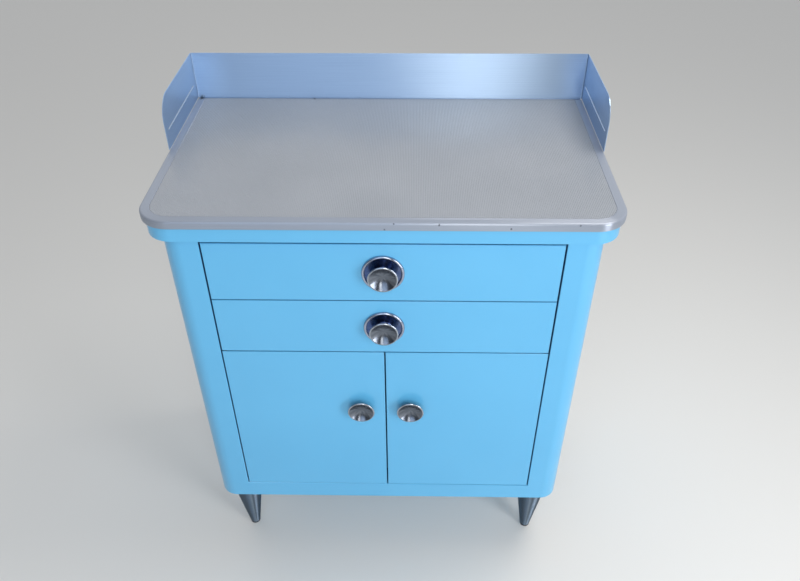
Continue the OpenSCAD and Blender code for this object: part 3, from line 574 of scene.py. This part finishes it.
def turned_tree():
    """Turns a half profile, given as points (radius, 0, height), round Z and maps U round the axis
    and V along the profile."""
    tree, given = new_tree("turned_piece", ("Steps", "Int"), ("Finish", "Material"))
    rows = add(tree, "GeometryNodeAttributeDomainSize", {"Geometry": given["Geometry"]}).outputs["Point Count"]
    columns = add(tree, "ShaderNodeMath", {0: given["Steps"], 1: 1.0}, operation="ADD")
    grid = add(tree, "GeometryNodeMeshGrid", {"Vertices X": columns.outputs[0], "Vertices Y": rows})
    index = add(tree, "GeometryNodeInputIndex").outputs[0]
    share = add(tree, "ShaderNodeMath", {0: index, 1: rows}, operation="DIVIDE")
    column = add(tree, "ShaderNodeMath", {0: share.outputs[0]}, operation="FLOOR")
    row = add(tree, "ShaderNodeMath", {0: index, 1: rows}, operation="MODULO")
    step = add(tree, "ShaderNodeMath", {0: 2 * math.pi, 1: given["Steps"]}, operation="DIVIDE")
    angle = add(tree, "ShaderNodeMath", {0: column.outputs[0], 1: step.outputs[0]}, operation="MULTIPLY")
    here = add(tree, "GeometryNodeInputPosition").outputs[0]
    point = add(tree, "GeometryNodeSampleIndex", {"Geometry": given["Geometry"], "Value": here,
                                                  "Index": row.outputs[0]}, data_type="FLOAT_VECTOR")
    turn = add(tree, "ShaderNodeVectorRotate", {"Vector": point.outputs[0], "Angle": angle.outputs[0]},
               rotation_type="Z_AXIS")
    moved = add(tree, "GeometryNodeSetPosition", {"Geometry": grid.outputs[0], "Position": turn.outputs[0]})
    mapped = add(tree, "GeometryNodeStoreNamedAttribute",
                 {"Geometry": moved.outputs[0], "Name": "grain", "Value": grid.outputs["UV Map"]},
                 data_type="FLOAT2", domain="CORNER")
    closed = add(tree, "GeometryNodeMergeByDistance", {"Geometry": mapped.outputs[0], "Distance": WELD})
    real = add(tree, "GeometryNodeRealizeInstances", {"Geometry": closed.outputs[0]})
    done = add(tree, "GeometryNodeSetMaterial", {"Geometry": real.outputs[0], "Material": given["Finish"]})
    add(tree, "NodeGroupOutput", {"Geometry": done.outputs[0]})
    return tree


TURNED = turned_tree()
FACING_FRONT = Matrix.Rotation(math.radians(90), 4, "X")
FACING_SIDE = Matrix.Rotation(math.radians(90), 4, "Y")


def turned_mesh(profile, steps, finish):
    """A closed mesh turned from a half profile of (radius, height) points."""
    line = bpy.data.meshes.new("profile")
    line.from_pydata([(r, 0, h) for r, h in profile], [(i, i + 1) for i in range(len(profile) - 1)], [])
    piece = run_tree(linked("turning", line), TURNED, steps=steps, finish=finish)
    mesh = piece.data
    bpy.data.objects.remove(piece)
    solid = bmesh.new()
    solid.from_mesh(mesh)
    bmesh.ops.recalc_face_normals(solid, faces=solid.faces)
    solid.to_mesh(mesh)
    solid.free()
    mesh.shade_smooth()
    mesh.set_sharp_from_angle(angle=SMOOTH)
    return mesh


def arc(centre, radii, first, last, steps):
    """Points on an arc in a half profile, from the first to the last angle in degrees."""
    angles = [math.radians(first + (last - first) * i / steps) for i in range(steps + 1)]
    return [(centre[0] + radii[0] * math.cos(a), centre[1] + radii[1] * math.sin(a)) for a in angles]


def turned_piece(node, profile, steps, place, turn=Matrix.Identity(4), finish=None):
    """A turned piece in the place of a CAD node."""
    finish = finish or FINISHES[SLOT_OF[node]]
    mesh = turned_mesh(profile, steps, finish)
    mesh.transform(Matrix.Translation(place) @ turn)
    return stand_for(linked(node + "_finished", mesh), node, finish)


def knob_painted_reflection(centre, radius):
    """Painted reflection on a knob: darker in the hollow and behind, for the dark floor and the blue front it
    reflects, and worn bright on the rim.
    """
    def amount(v):
        away = math.hypot(v.co.x - centre.x, v.co.z - centre.z) / radius
        return HOLLOW_REFLECTION_DARK - RIM_WEAR * ease(away, 0.88, 0.97) if v.normal.y < 0 else BACK_REFLECTION_DARK
    return amount


def saucer_painted_reflection(centre, radius):
    """Painted reflection on a saucer: dark on its floor, for the blue front in shade that it reflects, and
    worn bright on its bead.
    """
    def amount(v):
        away = math.hypot(v.co.x - centre.x, v.co.z - centre.z)
        return SAUCER_REFLECTION_DARK - BEAD_WEAR * ease(away, radius - 2 * BEAD_R, radius - BEAD_R)
    return amount


def knob_profile(radius, height):
    """Half profile of a dished knob: neck, back of the bowl, round rim and dish."""
    bowl = radius - KNOB_RIM

    def dish(r):
        return height - DISH_DEPTH * (1 - (r / bowl) ** 2)

    back = [NECK_R + (bowl - NECK_R) * i / 10 for i in range(11)]
    neck = arc((NECK_R - CUT_R, CUT_R), (CUT_R, CUT_R), -90, 0, 3)
    rim = arc((bowl, height - KNOB_RIM / 2), (KNOB_RIM, KNOB_RIM / 2), -80, 80, 12)
    face = [bowl * (1 - i / 16) for i in range(17)]
    return [(0, 0)] + neck + [(r, dish(r) - KNOB_RIM) for r in back] + rim + [(r, dish(r)) for r in face]


def saucer_profile(radius):
    """Half profile of a saucer: hub, shallow floor and rolled bead."""
    hub = NECK_R + HUB_H
    bead = arc((radius - BEAD_R, SAUCER_FLOOR), (BEAD_R, BEAD_R), 180, 0, 16)
    foot = arc((hub + HUB_H / 2, SAUCER_FLOOR + HUB_H / 2), (HUB_H / 2, HUB_H / 2), 180, 270, 6)
    return [(0, HUB_H), (hub, HUB_H)] + foot + bead + [(radius, 0), (0, 0)]


def centre_of(node):
    """Middle of a CAD node's box and its size."""
    low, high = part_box(node)
    return (low + high) / 2, high - low


KNOBS = [f"{level}_knob" for level in LEVELS] + [f"{side}_door_knob" for side in SIDES]
for node in KNOBS:
    centre, size = centre_of(node)
    seat = Vector((centre.x, centre.y + size.y / 2, centre.z))
    knob = turned_piece(node, knob_profile(size.x / 2, size.y), KNOB_STEPS, seat, FACING_FRONT)
    # Painted reflection: the knob is darker in its hollow and behind
    mark(knob, "painted_reflection", knob_painted_reflection(centre, size.x / 2))
for level in LEVELS:
    node = level + "_saucer"
    centre, size = centre_of(node)
    seat = Vector((centre.x, centre.y + size.y / 2, centre.z))
    saucer = turned_piece(node, saucer_profile(size.x / 2), KNOB_STEPS, seat, FACING_FRONT, SAUCER_FINISH)
    # Painted reflection: the saucer's floor is dark blue, less on its bead
    mark(saucer, "painted_reflection", saucer_painted_reflection(centre, size.x / 2))


def leg_profile(foot, top, height):
    """Half profile of a hollow conical leg with a softly rounded foot."""
    rise = (top - foot) / height
    wall = LEG_WALL
    outer = [(foot - CUT_R, 0), (foot, CUT_R)]
    outer += [(foot + rise * height * i / 8, height * i / 8) for i in range(1, 9)]
    inner = [(top - wall, height), (top - wall - rise * wall, height - wall), (foot - wall, wall), (0, wall)]
    return [(0, 0)] + outer + inner


glide_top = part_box("leg_glides")[1].z
LEGS = [f"{end}_{side}_leg" for end in ("front", "rear") for side in SIDES]
leg_places = []
for node in LEGS:
    low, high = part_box(node)
    centre = (low + high) / 2
    leg_places.append(Vector((centre.x, centre.y, 0)))
    top_r = (high.x - low.x) / 2
    place = Vector((centre.x, centre.y, low.z))
    turned_piece(node, leg_profile(LEG_FOOT_R, top_r, high.z - low.z), LEG_STEPS, place, finish=LEG_FINISH)


def joined(meshes):
    """One mesh made of several."""
    whole = bmesh.new()
    for mesh in meshes:
        whole.from_mesh(mesh)
    mesh = bpy.data.meshes.new("joined")
    whole.to_mesh(mesh)
    whole.free()
    mesh.set_sharp_from_angle(angle=SMOOTH)
    return mesh


glide_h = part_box(LEGS[0])[0].z
glide_line = [(0, 0)] + arc((GLIDE_R - GLIDE_ROUND, GLIDE_ROUND), (GLIDE_ROUND, GLIDE_ROUND), -90, 0, 5)
glide_line += [(GLIDE_R, glide_h), (AXLE_R, glide_h), (AXLE_R, glide_top), (0, glide_top)]
glides = []
for place in leg_places:
    mesh = turned_mesh(glide_line, GLIDE_STEPS, FINISHES["dark"])
    mesh.transform(Matrix.Translation(place))
    glides.append(mesh)
stand_for(linked("leg_glides_finished", joined(glides)), "leg_glides")

# Rollers and wheels of the drawer slides: a crowned tread on a bore
for level in LEVELS:
    for side in SIDES:
        for part in ("roller", "wheel"):
            node = f"{level}_{side}_{part}"
            centre, size = centre_of(node)
            half, radius = size.x / 2, size.z / 2
            soft = TREAD_ROUND
            line = [(AXLE_R, -half), (radius - soft, -half)]
            line += arc((radius - soft, -half + soft), (soft, soft), -90, 0, 4)
            line += arc((radius - soft, half - soft), (soft, soft), 0, 90, 4)
            line += [(radius - soft, half), (AXLE_R, half), (AXLE_R, -half)]
            turned_piece(node, line, ROLLER_STEPS, centre, FACING_SIDE)


def ribs_tree():
    """Lays ribs front to back on a mat with round front corners."""
    tree, given = new_tree("mat_ribs", ("Count", "Int"), ("Pitch", "Float"), ("Rib Width", "Float"),
                           ("Rib Height", "Float"), ("Half Width", "Float"), ("Front", "Float"),
                           ("Back", "Float"), ("Corner", "Float"), ("Top", "Float"), ("Finish", "Material"))
    last = add(tree, "ShaderNodeMath", {0: given["Count"], 1: 1.0}, operation="SUBTRACT")
    span = add(tree, "ShaderNodeMath", {0: last.outputs[0], 1: given["Pitch"]}, operation="MULTIPLY")
    first = add(tree, "ShaderNodeMath", {0: span.outputs[0], 1: -0.5}, operation="MULTIPLY")
    start = add(tree, "ShaderNodeCombineXYZ", {0: first.outputs[0], 2: given["Top"]})
    step = add(tree, "ShaderNodeCombineXYZ", {0: given["Pitch"]})
    row = add(tree, "GeometryNodeMeshLine", {"Count": given["Count"], "Start Location": start.outputs[0],
                                             "Offset": step.outputs[0]})
    spot = add(tree, "ShaderNodeSeparateXYZ", {0: add(tree, "GeometryNodeInputPosition").outputs[0]}).outputs
    aside = add(tree, "ShaderNodeMath", {0: spot[0]}, operation="ABSOLUTE")
    straight = add(tree, "ShaderNodeMath", {0: given["Half Width"], 1: given["Corner"]}, operation="SUBTRACT")
    past = add(tree, "ShaderNodeMath", {0: aside.outputs[0], 1: straight.outputs[0]}, operation="SUBTRACT")
    over = add(tree, "ShaderNodeMath", {0: past.outputs[0], 1: 0.0}, operation="MAXIMUM")
    over2 = add(tree, "ShaderNodeMath", {0: over.outputs[0], 1: 2.0}, operation="POWER")
    corner2 = add(tree, "ShaderNodeMath", {0: given["Corner"], 1: 2.0}, operation="POWER")
    left = add(tree, "ShaderNodeMath", {0: corner2.outputs[0], 1: over2.outputs[0]}, operation="SUBTRACT")
    sagitta = add(tree, "ShaderNodeMath", {0: left.outputs[0]}, operation="SQRT")
    inset = add(tree, "ShaderNodeMath", {0: given["Corner"], 1: sagitta.outputs[0]}, operation="SUBTRACT")
    front = add(tree, "ShaderNodeMath", {0: given["Front"], 1: inset.outputs[0]}, operation="ADD")
    length = add(tree, "ShaderNodeMath", {0: given["Back"], 1: front.outputs[0]}, operation="SUBTRACT")
    both = add(tree, "ShaderNodeMath", {0: given["Back"], 1: front.outputs[0]}, operation="ADD")
    middle = add(tree, "ShaderNodeMath", {0: both.outputs[0], 1: 0.5}, operation="MULTIPLY")
    seat = add(tree, "ShaderNodeCombineXYZ", {0: spot[0], 1: middle.outputs[0], 2: spot[2]})
    placed = add(tree, "GeometryNodeSetPosition", {"Geometry": row.outputs[0], "Position": seat.outputs[0]})
    size = add(tree, "ShaderNodeCombineXYZ", {0: given["Rib Width"], 1: 1.0, 2: given["Rib Height"]})
    block = add(tree, "GeometryNodeMeshCube", {"Size": size.outputs[0]})
    high = add(tree, "ShaderNodeMath", {0: spot[2], 1: 0.0}, operation="GREATER_THAN")
    narrow = add(tree, "ShaderNodeVectorMath", {0: add(tree, "GeometryNodeInputPosition").outputs[0],
                                                1: (RIB_CROWN, 1.0, 1.0)}, operation="MULTIPLY")
    rib = add(tree, "GeometryNodeSetPosition", {"Geometry": block.outputs[0], "Selection": high.outputs[0],
                                                "Position": narrow.outputs[0]})
    stretch = add(tree, "ShaderNodeCombineXYZ", {0: 1.0, 1: length.outputs[0], 2: 1.0})
    laid = add(tree, "GeometryNodeInstanceOnPoints", {"Points": placed.outputs[0], "Instance": rib.outputs[0],
                                                      "Scale": stretch.outputs[0]})
    whole = add(tree, "GeometryNodeJoinGeometry", {"Geometry": given["Geometry"]})
    tree.links.new(laid.outputs[0], whole.inputs[0])
    real = add(tree, "GeometryNodeRealizeInstances", {"Geometry": whole.outputs[0]})
    done = add(tree, "GeometryNodeSetMaterial", {"Geometry": real.outputs[0], "Material": given["Finish"]})
    add(tree, "NodeGroupOutput", {"Geometry": done.outputs[0]})
    return tree


base = welded("top_mat")
for v in base.verts:
    v.co.z = min(v.co.z, mat_high.z - RIB_H)
base_mesh = bpy.data.meshes.new("mat_base")
base.to_mesh(base_mesh)
base.free()
mat = linked("top_mat_finished", base_mesh)
run_tree(mat, ribs_tree(), count=int((mat_high.x - mat_low.x) / RIB_PITCH), pitch=RIB_PITCH, rib_width=RIB_W,
         rib_height=2 * RIB_H, half_width=mat_high.x, front=mat_low.y, back=mat_high.y, corner=MAT_CORNER_R,
         top=mat_high.z - RIB_H, finish=FINISHES["mat"])
stand_for(mat, "top_mat")


def fastener_tree():
    """Sets a fastener on each point, along the point's aim: a crowned or six-sided head, with or
    without a slot, on a plain shank. The top of the head lies on the point."""
    tree, given = new_tree("fasteners", ("Head Radius", "Float"), ("Head Height", "Float"),
                           ("Shank Radius", "Float"), ("Length", "Float"), ("Sides", "Int"),
                           ("Crown", "Float"), ("Slot", "Float"), ("Slotted", "Bool"), ("Finish", "Material"))
    head = add(tree, "GeometryNodeMeshCylinder",
               {"Vertices": given["Sides"], "Side Segments": 4, "Radius": given["Head Radius"],
                "Depth": given["Head Height"]})
    here = add(tree, "GeometryNodeInputPosition").outputs[0]
    spot = add(tree, "ShaderNodeSeparateXYZ", {0: here}).outputs
    share = add(tree, "ShaderNodeMath", {0: spot[2], 1: given["Head Height"]}, operation="DIVIDE")
    rise = add(tree, "ShaderNodeMath", {0: share.outputs[0], 1: 0.5}, operation="ADD")
    bend = add(tree, "ShaderNodeMath", {0: rise.outputs[0], 1: given["Crown"]}, operation="MULTIPLY")
    bend2 = add(tree, "ShaderNodeMath", {0: bend.outputs[0], 1: 2.0}, operation="POWER")
    rest = add(tree, "ShaderNodeMath", {0: 1.0, 1: bend2.outputs[0]}, operation="SUBTRACT")
    narrow = add(tree, "ShaderNodeMath", {0: rest.outputs[0]}, operation="SQRT")
    half = add(tree, "ShaderNodeMath", {0: given["Head Height"], 1: 0.5}, operation="MULTIPLY")
    x = add(tree, "ShaderNodeMath", {0: spot[0], 1: narrow.outputs[0]}, operation="MULTIPLY")
    y = add(tree, "ShaderNodeMath", {0: spot[1], 1: narrow.outputs[0]}, operation="MULTIPLY")
    z = add(tree, "ShaderNodeMath", {0: spot[2], 1: half.outputs[0]}, operation="SUBTRACT")
    dome = add(tree, "ShaderNodeCombineXYZ", {0: x.outputs[0], 1: y.outputs[0], 2: z.outputs[0]})
    crowned = add(tree, "GeometryNodeSetPosition", {"Geometry": head.outputs[0], "Position": dome.outputs[0]})
    reach = add(tree, "ShaderNodeMath", {0: given["Head Radius"], 1: 3.0}, operation="MULTIPLY")
    bar_size = add(tree, "ShaderNodeCombineXYZ", {0: reach.outputs[0], 1: given["Slot"],
                                                  2: given["Head Height"]})
    bar = add(tree, "GeometryNodeMeshCube", {"Size": bar_size.outputs[0]})
    cut_head = add(tree, "GeometryNodeMeshBoolean", {0: crowned.outputs[0], 1: bar.outputs[0]},
                   operation="DIFFERENCE")
    top = add(tree, "GeometryNodeSwitch", {"Switch": given["Slotted"], "False": crowned.outputs[0],
                                           "True": cut_head.outputs[0]}, input_type="GEOMETRY")
    shank_h = add(tree, "ShaderNodeMath", {0: given["Length"], 1: given["Head Height"]}, operation="SUBTRACT")
    low = add(tree, "ShaderNodeMath", {0: given["Length"], 1: given["Head Height"]}, operation="ADD")
    down = add(tree, "ShaderNodeMath", {0: low.outputs[0], 1: -0.5}, operation="MULTIPLY")
    under = add(tree, "ShaderNodeCombineXYZ", {2: down.outputs[0]})
    shank = add(tree, "GeometryNodeMeshCylinder", {"Vertices": 12, "Radius": given["Shank Radius"],
                                                   "Depth": shank_h.outputs[0]})
    lowered = add(tree, "GeometryNodeTransform", {"Geometry": shank.outputs[0],
                                                  "Translation": under.outputs[0]})
    whole = add(tree, "GeometryNodeJoinGeometry", {"Geometry": top.outputs[0]})
    tree.links.new(lowered.outputs[0], whole.inputs[0])
    aim = add(tree, "GeometryNodeInputNamedAttribute", {"Name": "aim"}, data_type="FLOAT_VECTOR")
    lie = add(tree, "FunctionNodeAlignRotationToVector", {"Vector": aim.outputs[0]}, axis="Z")
    placed = add(tree, "GeometryNodeInstanceOnPoints",
                 {"Points": given["Geometry"], "Instance": whole.outputs[0], "Rotation": lie.outputs[0]})
    real = add(tree, "GeometryNodeRealizeInstances", {"Geometry": placed.outputs[0]})
    done = add(tree, "GeometryNodeSetMaterial", {"Geometry": real.outputs[0], "Material": given["Finish"]})
    add(tree, "NodeGroupOutput", {"Geometry": done.outputs[0]})
    return tree


def loose_solids(node):
    """The corner points of each separate solid of a CAD node."""
    solid = welded(node)
    waiting = set(solid.verts)
    groups = []
    while waiting:
        trail = [waiting.pop()]
        group = []
        while trail:
            v = trail.pop()
            group.append(v.co.copy())
            fresh = [o for o in (e.other_vert(v) for e in v.link_edges) if o in waiting]
            waiting.difference_update(fresh)
            trail += fresh
        groups.append(group)
    solid.free()
    return groups


def fastener_lie(points):
    """The top of a fastener's head, the way it looks, its length and its head and shank radii."""
    low = Vector([min(axis) for axis in zip(*points)])
    high = Vector([max(axis) for axis in zip(*points)])
    size, middle = high - low, (low + high) / 2
    axis = min(range(3), key=lambda i: abs(size[i - 1] - size[i - 2]))
    ends = []
    for level in (low[axis], high[axis]):
        at_end = [p - middle for p in points if abs(p[axis] - level) < 0.1 * size[axis]]
        ends.append(max(math.hypot(p[axis - 1], p[axis - 2]) for p in at_end))
    aim = Vector((0, 0, 0))
    aim[axis] = 1.0 if ends[1] > ends[0] else -1.0
    return middle + aim * size[axis] / 2, aim, size[axis], max(ends), min(ends)


FASTENERS = fastener_tree()


def fastener_piece(node, head_h, sides, crown, slot):
    """All the fasteners of a CAD node, as one piece."""
    lies = [fastener_lie(points) for points in loose_solids(node)]
    spots = bpy.data.meshes.new(node)
    spots.from_pydata([top for top, _, _, _, _ in lies], [], [])
    aims = spots.attributes.new("aim", "FLOAT_VECTOR", "POINT")
    for i, (_, aim, _, _, _) in enumerate(lies):
        aims.data[i].vector = aim
    _, _, length, head_r, shank_r = lies[0]
    piece = linked(node + "_finished", spots)
    run_tree(piece, FASTENERS, head_radius=head_r, head_height=head_h, shank_radius=shank_r, length=length,
             sides=sides, crown=crown, slot=slot, slotted=slot > 0, finish=FINISHES[SLOT_OF[node]])
    piece.data.shade_smooth()
    piece.data.set_sharp_from_angle(angle=SMOOTH)
    stand_for(piece, node)


SCREWS = ["panel_screws", "deck_screws"] + [f"{level}_knob_screw" for level in LEVELS]
SCREWS += [f"{side}_door_screw" for side in SIDES]
for node in SCREWS:
    fastener_piece(node, SCREW_HEAD_H, sides=24, crown=0.8, slot=SCREW_SLOT)
fastener_piece("leg_bolts", BOLT_HEAD_H, sides=6, crown=0.0, slot=0.0)
fastener_piece("splash_rivets", RIVET_HEAD_H, sides=20, crown=0.9, slot=0.0)

# Studio: a pale floor, a soft world and four soft lamps
floor_mesh = bpy.data.meshes.new("floor")
REACH = 14.0
floor_mesh.from_pydata([(-REACH, -REACH, 0), (REACH, -REACH, 0), (REACH, REACH, 0), (-REACH, REACH, 0)], [],
                       [(0, 1, 2, 3)])
floor = linked("studio_floor", floor_mesh)
floor_finish, _, floor_shader = finish_named("studio_floor", Roughness=0.9)
floor_shader.inputs["Base Color"].default_value = linear("#D8D7D3")
floor_mesh.materials.append(floor_finish)


def soft_lamp(name, place, aim, size, power, tint):
    """A rectangular area lamp that looks at a point."""
    lamp = bpy.data.lights.new(name, "AREA")
    lamp.shape = "RECTANGLE"
    lamp.size, lamp.size_y = size
    lamp.energy = power
    lamp.color = linear(tint)[:3]
    holder = bpy.data.objects.new(name, lamp)
    turn = (Vector(aim) - Vector(place)).to_track_quat("-Z", "Y")
    holder.matrix_world = Matrix.Translation(place) @ turn.to_matrix().to_4x4()
    bpy.context.scene.collection.objects.link(holder)


# Places, aims and sizes are in metres, powers in watts
soft_lamp("front_lamp", (0.36, -2.2, 1.8), aim=(0, 0, 0.8), size=(0.5, 2.2), power=17, tint="#FFFCF6")
soft_lamp("fill_lamp", (-0.45, -2.2, 1.7), aim=(0, 0, 0.8), size=(1.2, 2.0), power=12, tint="#D2E6FF")
soft_lamp("window_lamp", (1.65, -1.6, 1.0), aim=(0, 0, 0.6), size=(0.7, 1.6), power=28, tint="#F8FAFF")
soft_lamp("side_lamp", (0.8, 0.1, 2.2), aim=(0, 0, 0.9), size=(0.8, 0.8), power=14, tint="#FFF8F0")

# The world is dim before the cabinet and at its sides, and brighter above and behind it
world = bpy.data.worlds.new("studio")
bpy.context.scene.world = world
world.use_nodes = True
sky = world.node_tree
sky.nodes.clear()
way = add(sky, "ShaderNodeTexCoord").outputs["Generated"]
toward = add(sky, "ShaderNodeSeparateXYZ", {0: way}).outputs
sides = add(sky, "ShaderNodeMapRange", {VALUE: toward[0], FROM_LOW: -0.6, FROM_HIGH: 0.8,
                                        TO_LOW: 0.20, TO_HIGH: 0.26})
above = add(sky, "ShaderNodeMapRange", {VALUE: toward[2], FROM_LOW: 0.35, FROM_HIGH: 0.8,
                                        TO_LOW: 0.0, TO_HIGH: 0.32})
behind = add(sky, "ShaderNodeMapRange", {VALUE: toward[1], FROM_LOW: -0.2, FROM_HIGH: 0.9,
                                         TO_LOW: 0.0, TO_HIGH: 0.70})
before = add(sky, "ShaderNodeMapRange", {VALUE: toward[1], FROM_LOW: -0.85, FROM_HIGH: -0.3,
                                         TO_LOW: 0.05, TO_HIGH: 0.0})
some = add(sky, "ShaderNodeMath", {0: sides.outputs[0], 1: above.outputs[0]}, operation="ADD")
more = add(sky, "ShaderNodeMath", {0: some.outputs[0], 1: behind.outputs[0]}, operation="ADD")
glow = add(sky, "ShaderNodeBackground", {"Color": linear("#F4F6FA"), "Strength": more.outputs[0]})
daylight = add(sky, "ShaderNodeBackground", {"Color": linear("#AFCFFF"), "Strength": before.outputs[0]})
whole = add(sky, "ShaderNodeAddShader", {0: glow.outputs[0], 1: daylight.outputs[0]})
add(sky, "ShaderNodeOutputWorld", {"Surface": whole.outputs[0]})

camera = bpy.data.cameras.new("photo_camera")
camera.sensor_width = SENSOR_W
camera.lens = FOCAL_PX * SENSOR_W / PHOTO_W
eye = bpy.data.objects.new("photo_camera", camera)
bpy.context.scene.collection.objects.link(eye)
turn = (Matrix.Rotation(CAMERA_YAW, 3, "Z") @ Matrix.Rotation(CAMERA_PITCH, 3, "X")
        @ Matrix.Rotation(CAMERA_ROLL, 3, "Y"))
right, ahead, up = turn.col
axes = Matrix((right, up, -ahead)).transposed()
eye.matrix_world = Matrix.Translation(CAMERA_PLACE) @ axes.to_4x4()
bpy.context.scene.camera = eye
bpy.context.scene.view_settings.view_transform = "Standard"
